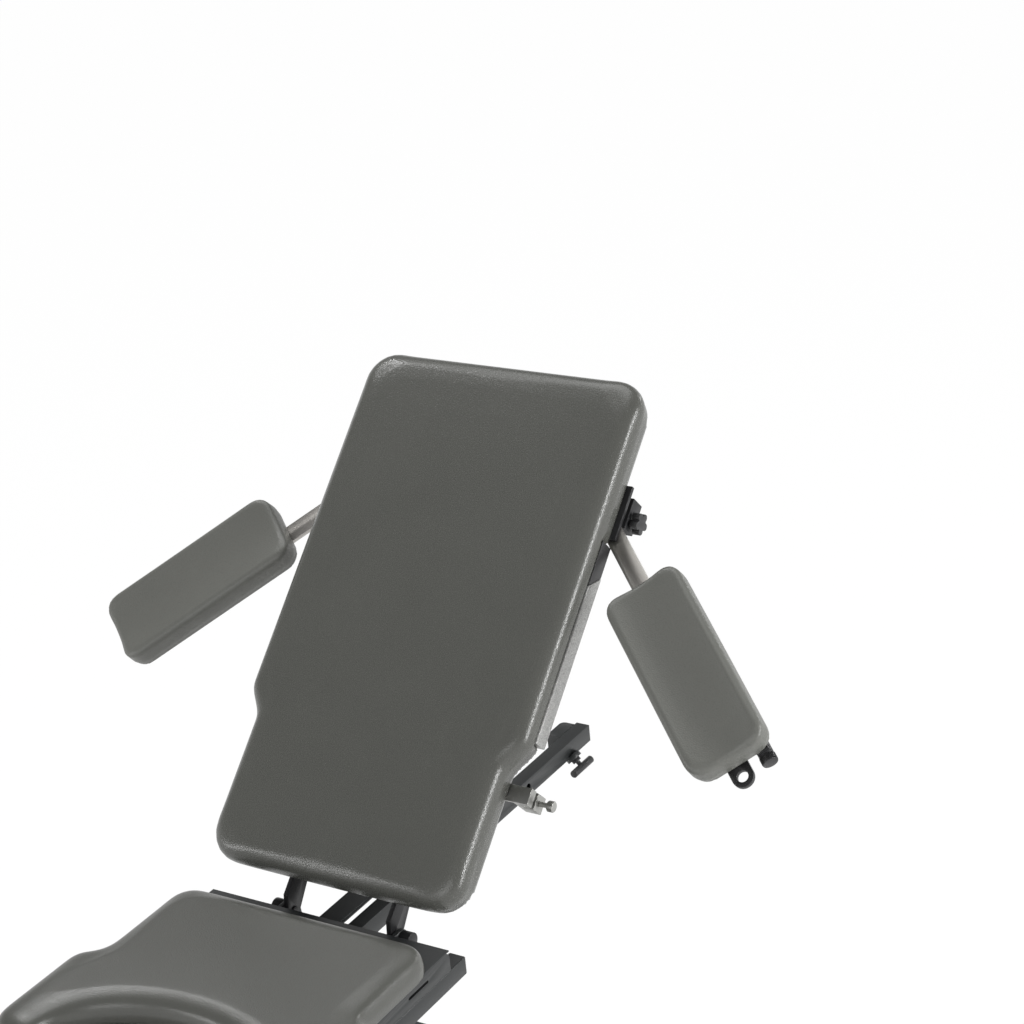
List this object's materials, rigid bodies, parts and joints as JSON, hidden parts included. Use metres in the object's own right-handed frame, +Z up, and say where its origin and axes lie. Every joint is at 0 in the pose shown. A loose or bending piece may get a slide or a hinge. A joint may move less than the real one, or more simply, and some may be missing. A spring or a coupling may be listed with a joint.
{
  "type": "gynecological chair",
  "caption": "Examination chair with a U cut-out seat, reclining backrest, swinging armrests, lift column, seat tilt, drain bowl and sockets for leg supports.",
  "frame": {"origin": "on the floor, under the middle of the chair's outline seen from above", "axes": "+X to the right as seen by someone facing the seat, +Y towards the head end, +Z up"},
  "size_m": [1.2173, 1.21, 1.2339],
  "materials": {
    "frame_paint": "satin anthracite powder coat",
    "black_steel": "satin black",
    "cylinder_paint": "gloss black",
    "black_plastic": "fine texture",
    "foot_rubber": "matt",
    "zinc_steel": "zinc plated",
    "polished_steel": "ground",
    "brushed_stainless": "brushed along its length",
    "column_aluminium": "anodised",
    "hammered_silver": "hammered silver paint",
    "seat_upholstery": "semi-gloss leatherette",
    "back_upholstery": "semi-gloss leatherette",
    "arm_upholstery": "semi-gloss leatherette",
    "back_board": "stained plywood"
  },
  "bodies": {
    "base": {"base_spine": "frame_paint", "cross_feet": "frame_paint", "foot_caps": "black_plastic", "levelling_feet": "foot_rubber", "column_flange": "frame_paint", "column_outer": "frame_paint", "collar_outer": "black_plastic", "lift_cylinder": "zinc_steel", "pump_block": "frame_paint"},
    "column_mid": {"column_middle": "column_aluminium", "collar_middle": "black_plastic"},
    "column_top": {"column_inner": "column_aluminium", "tilt_head": "frame_paint", "lift_ram": "polished_steel"},
    "pedal": {"pedal_lever": "frame_paint", "pedal_pad": "foot_rubber"},
    "tilt_spring": {"tilt_cylinder": "cylinder_paint"},
    "tilt_spring_rod": {"tilt_rod": "polished_steel"},
    "seat": {"seat_rails": "frame_paint", "cross_rear": "frame_paint", "cross_front": "frame_paint", "rear_beam": "frame_paint", "carrier_bar": "frame_paint", "beam_stop": "frame_paint", "frame_ears": "frame_paint", "tilt_pin": "polished_steel", "hinge_pins": "black_steel", "seat_pan": "frame_paint", "seat_cushion": "seat_upholstery", "back_cylinder": "cylinder_paint", "cylinder_mounts": "frame_paint", "leg_clamps": "black_steel", "bowl_runners": "zinc_steel", "lever_brackets": "frame_paint"},
    "leg_screw_l": {"leg_screw_left": "black_plastic"},
    "leg_screw_r": {"leg_screw_right": "black_plastic"},
    "bowl": {"drain_bowl": "brushed_stainless"},
    "back_spring_rod": {"back_rod": "polished_steel"},
    "beam_screw": {"tee_screw": "black_plastic"},
    "back_release_lever": {"back_release": "black_plastic"},
    "tilt_release_lever": {"tilt_release": "black_plastic"},
    "back": {"back_cushion": "back_upholstery", "back_board": "back_board", "back_frame": "frame_paint", "hinge_lugs": "black_steel", "side_strips": "hammered_silver", "strip_blocks": "black_plastic", "arm_brackets": "black_steel", "arm_pivots": "polished_steel", "side_clamp": "zinc_steel"},
    "side_clamp_screw": {"clamp_screw": "zinc_steel"},
    "arm_right": {"arm_right_bar": "brushed_stainless", "arm_right_pad": "arm_upholstery", "arm_right_loop": "black_plastic"},
    "arm_left": {"arm_left_bar": "brushed_stainless", "arm_left_pad": "arm_upholstery"},
    "arm_knob_right": {"knob_right": "black_plastic"},
    "arm_knob_left": {"knob_left": "black_plastic"}
  },
  "joints": [
    {"name": "column_lift", "type": "slide", "parent": "base", "child": "column_mid", "axis": [0, 0, 1], "range_m": [0, 0.12]},
    {"name": "column_lift_top", "type": "slide", "parent": "column_mid", "child": "column_top", "axis": [0, 0, 1], "range_m": [0, 0.12]},
    {"name": "pedal_press", "type": "hinge", "parent": "base", "child": "pedal", "pos_m": [0.0175, -0.049, 0.107], "axis": [0, 1, 0], "range_deg": [0, 10], "stiffness_Nm_per_rad": 40, "springref_deg": -5.73},
    {"name": "seat_tilt", "type": "hinge", "parent": "column_top", "child": "seat", "pos_m": [0, -0.18, 0.455], "axis": [-1, 0, 0], "range_deg": [-5, 15]},
    {"name": "tilt_spring_swing", "type": "hinge", "parent": "column_top", "child": "tilt_spring", "pos_m": [0, -0.285, 0.345], "axis": [1, 0, 0], "range_deg": [-15, 6]},
    {"name": "tilt_spring_stroke", "type": "slide", "parent": "tilt_spring", "child": "tilt_spring_rod", "axis": [0, -0.7256, 0.6881], "range_m": [-0.016, 0.042]},
    {"name": "back_recline", "type": "hinge", "parent": "seat", "child": "back", "pos_m": [0, -0.1, 0.545], "axis": [1, 0, 0], "range_deg": [-43.5, 26.5]},
    {"name": "back_spring_stroke", "type": "slide", "parent": "seat", "child": "back_spring_rod", "axis": [0, 1, 0], "range_m": [-0.052, 0.032]},
    {"name": "arm_right_swing", "type": "hinge", "parent": "back", "child": "arm_right", "pos_m": [0.2, 0.40536, 1.07006], "axis": [0, -0.6884, 0.7254], "range_deg": [0, 135.6]},
    {"name": "arm_left_swing", "type": "hinge", "parent": "back", "child": "arm_left", "pos_m": [-0.2, 0.40536, 1.07006], "axis": [0, 0.6884, -0.7254], "range_deg": [0, 135.6]},
    {"name": "arm_knob_right_turn", "type": "hinge", "parent": "back", "child": "arm_knob_right", "pos_m": [0.262, 0.41819, 1.0333], "axis": [1, 0, 0], "continuous": true},
    {"name": "arm_knob_left_turn", "type": "hinge", "parent": "back", "child": "arm_knob_left", "pos_m": [-0.262, 0.41819, 1.0333], "axis": [-1, 0, 0], "continuous": true},
    {"name": "side_clamp_turn", "type": "hinge", "parent": "back", "child": "side_clamp_screw", "pos_m": [0.258, 0.08054, 0.71357], "axis": [1, 0, 0], "continuous": true},
    {"name": "beam_screw_turn", "type": "hinge", "parent": "seat", "child": "beam_screw", "pos_m": [0.028, 0.544, 0.51], "axis": [0.7071, 0, -0.7071], "continuous": true},
    {"name": "leg_screw_left_turn", "type": "hinge", "parent": "seat", "child": "leg_screw_l", "pos_m": [-0.28, -0.55, 0.523], "axis": [0, -1, 0], "continuous": true},
    {"name": "leg_screw_right_turn", "type": "hinge", "parent": "seat", "child": "leg_screw_r", "pos_m": [0.28, -0.55, 0.523], "axis": [0, -1, 0], "continuous": true},
    {"name": "bowl_slide", "type": "slide", "parent": "seat", "child": "bowl", "axis": [0, -1, 0], "range_m": [0, 0.09]},
    {"name": "back_release_press", "type": "hinge", "parent": "seat", "child": "back_release_lever", "pos_m": [-0.203, -0.33, 0.5], "axis": [0, 1, 0], "range_deg": [0, 8], "stiffness_Nm_per_rad": 4, "springref_deg": -5.73},
    {"name": "tilt_release_press", "type": "hinge", "parent": "seat", "child": "tilt_release_lever", "pos_m": [0.203, -0.33, 0.5], "axis": [0, -1, 0], "range_deg": [0, 8], "stiffness_Nm_per_rad": 4, "springref_deg": -5.73}
  ],
  "couplings": [
    {"joint": "column_lift_top", "follows": "column_lift", "ratio": 1},
    {"joint": "tilt_spring_swing", "follows": "seat_tilt", "ratio": -0.943},
    {"joint": "tilt_spring_stroke", "follows": "seat_tilt", "m_per_rad": 0.15115},
    {"joint": "back_spring_stroke", "follows": "back_recline", "m_per_rad": 0.0666}
  ]
}
